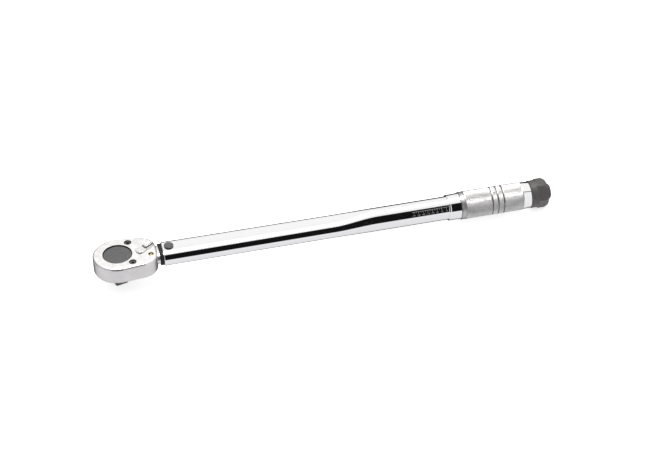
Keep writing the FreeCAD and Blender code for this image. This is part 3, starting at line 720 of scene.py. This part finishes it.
# ---- studio -------------------------------------------------------------
def tent_ramp(tree, share, stops):
    """Greys by angle in degrees; the first and last stop meet at the far low side."""
    ramp = tree.nodes.new("ShaderNodeValToRGB")
    for place, (degrees, grey) in enumerate(stops):
        elements = ramp.color_ramp.elements
        position = (degrees + 180.0) / 360.0
        stop = elements[place] if place < 2 else elements.new(position)
        stop.position = position
        stop.color = (grey, grey, min(1.0, grey * 1.03), 1.0)
    tree.links.new(share, ramp.inputs["Fac"])
    return ramp.outputs["Color"]


def blend_where(tree, value, start, end, before, after):
    """The colour before where value is under start, and after where it is over end."""
    factor = tree.nodes.new("ShaderNodeMapRange")
    factor.inputs["From Min"].default_value = start
    factor.inputs["From Max"].default_value = end
    tree.links.new(value, factor.inputs["Value"])
    mix = tree.nodes.new("ShaderNodeMix")
    mix.data_type = "RGBA"
    tree.links.new(factor.outputs["Result"], mix.inputs[0])
    tree.links.new(before, mix.inputs[6])
    tree.links.new(after, mix.inputs[7])
    return mix.outputs[2]


def make_world():
    """A white tent round the wrench, with a dark side panel behind the camera.

    Directions are sorted by their angle about the tube's axis: 0 points to
    the near horizon, 90 straight up and 180 to the far horizon.
    """
    world = bpy.data.worlds.new("studio")
    bpy.context.scene.world = world
    world.use_nodes = True
    tree = world.node_tree
    direction = tree.nodes.new("ShaderNodeTexCoord")
    parts = tree.nodes.new("ShaderNodeSeparateXYZ")
    tree.links.new(direction.outputs["Generated"], parts.inputs["Vector"])
    near = tree.nodes.new("ShaderNodeMath")
    near.operation = "MULTIPLY"
    near.inputs[1].default_value = -1.0
    tree.links.new(parts.outputs["Y"], near.inputs[0])
    angle = tree.nodes.new("ShaderNodeMath")
    angle.operation = "ARCTAN2"
    tree.links.new(parts.outputs["Z"], angle.inputs[0])
    tree.links.new(near.outputs["Value"], angle.inputs[1])
    share = tree.nodes.new("ShaderNodeMapRange")
    share.inputs["From Min"].default_value = -math.pi
    share.inputs["From Max"].default_value = math.pi
    tree.links.new(angle.outputs["Value"], share.inputs["Value"])
    middle = tent_ramp(tree, share.outputs["Result"], TENT_MIDDLE)
    right = tent_ramp(tree, share.outputs["Result"], TENT_RIGHT)
    left = tent_ramp(tree, share.outputs["Result"], TENT_LEFT)
    tent = blend_where(tree, parts.outputs["X"], *PANEL_END, middle, right)
    tent = blend_where(tree, parts.outputs["X"], *LEFT_END, left, tent)
    background = tree.nodes["Background"]
    background.inputs["Strength"].default_value = 1.0
    tree.links.new(tent, background.inputs["Color"])



def make_floor():
    """A pale floor that the drive tip and the knob rest on."""
    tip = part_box("drive_gear")[0]
    knob_low, knob_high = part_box("lock_knob")
    knob_x = (knob_low.x + knob_high.x) / 2.0
    slope = (knob_low.z - tip.z) / knob_x
    half = FLOOR_HALF_SIZE
    mesh = bpy.data.meshes.new("floor")
    corners = [(-half, -half), (half, -half), (half, half), (-half, half)]
    mesh.from_pydata([(x, y, tip.z - FLOOR_GAP + slope * x) for x, y in corners], [], [(0, 1, 2, 3)])
    floor = bpy.data.objects.new("floor", mesh)
    bpy.context.scene.collection.objects.link(floor)
    paper = Finish("floor_paper", (0.93, 0.93, 0.93), 0.9, 0.0, Specular_IOR_Level=0.1)
    paper.bump(paper.noise(3 * MM, 3.0), 0.02 * MM)
    mesh.materials.append(paper.material)
    paper.shader.inputs["Emission Color"].default_value = (1.0, 1.0, 1.0, 1.0)
    paper.shader.inputs["Emission Strength"].default_value = FLOOR_GLOW
    floor.visible_glossy = False


def area_light(name, place, aim, size, power):
    lamp = bpy.data.lights.new(name, "AREA")
    lamp.shape = "DISK"
    lamp.size = size
    lamp.energy = power
    light = bpy.data.objects.new(name, lamp)
    bpy.context.scene.collection.objects.link(light)
    light.location = place
    light.rotation_euler = (Vector(aim) - Vector(place)).to_track_quat("-Z", "Y").to_euler()


def make_camera():
    """The studio camera: a long lens, above and to the left of the wrench."""
    right = Vector(CAMERA_RIGHT)
    up = Vector(CAMERA_UP)
    back = right.cross(up).normalized()
    up = back.cross(right).normalized()
    right = up.cross(back)
    data = bpy.data.cameras.new("camera")
    data.sensor_width = CAMERA_SENSOR
    data.lens = CAMERA_LENS
    camera = bpy.data.objects.new("camera", data)
    bpy.context.scene.collection.objects.link(camera)
    turn = Matrix((right, up, back)).transposed().to_4x4()
    camera.matrix_world = Matrix.Translation(CAMERA_PLACE) @ turn
    data.clip_start = 0.05
    data.clip_end = 100.0
    bpy.context.scene.camera = camera


make_world()
make_floor()
area_light("overhead", (0.25, 0.35, 1.6), (0.22, 0.0, 0.0), 1.0, 30.0)
make_camera()
bpy.context.scene.view_settings.view_transform = "Standard"
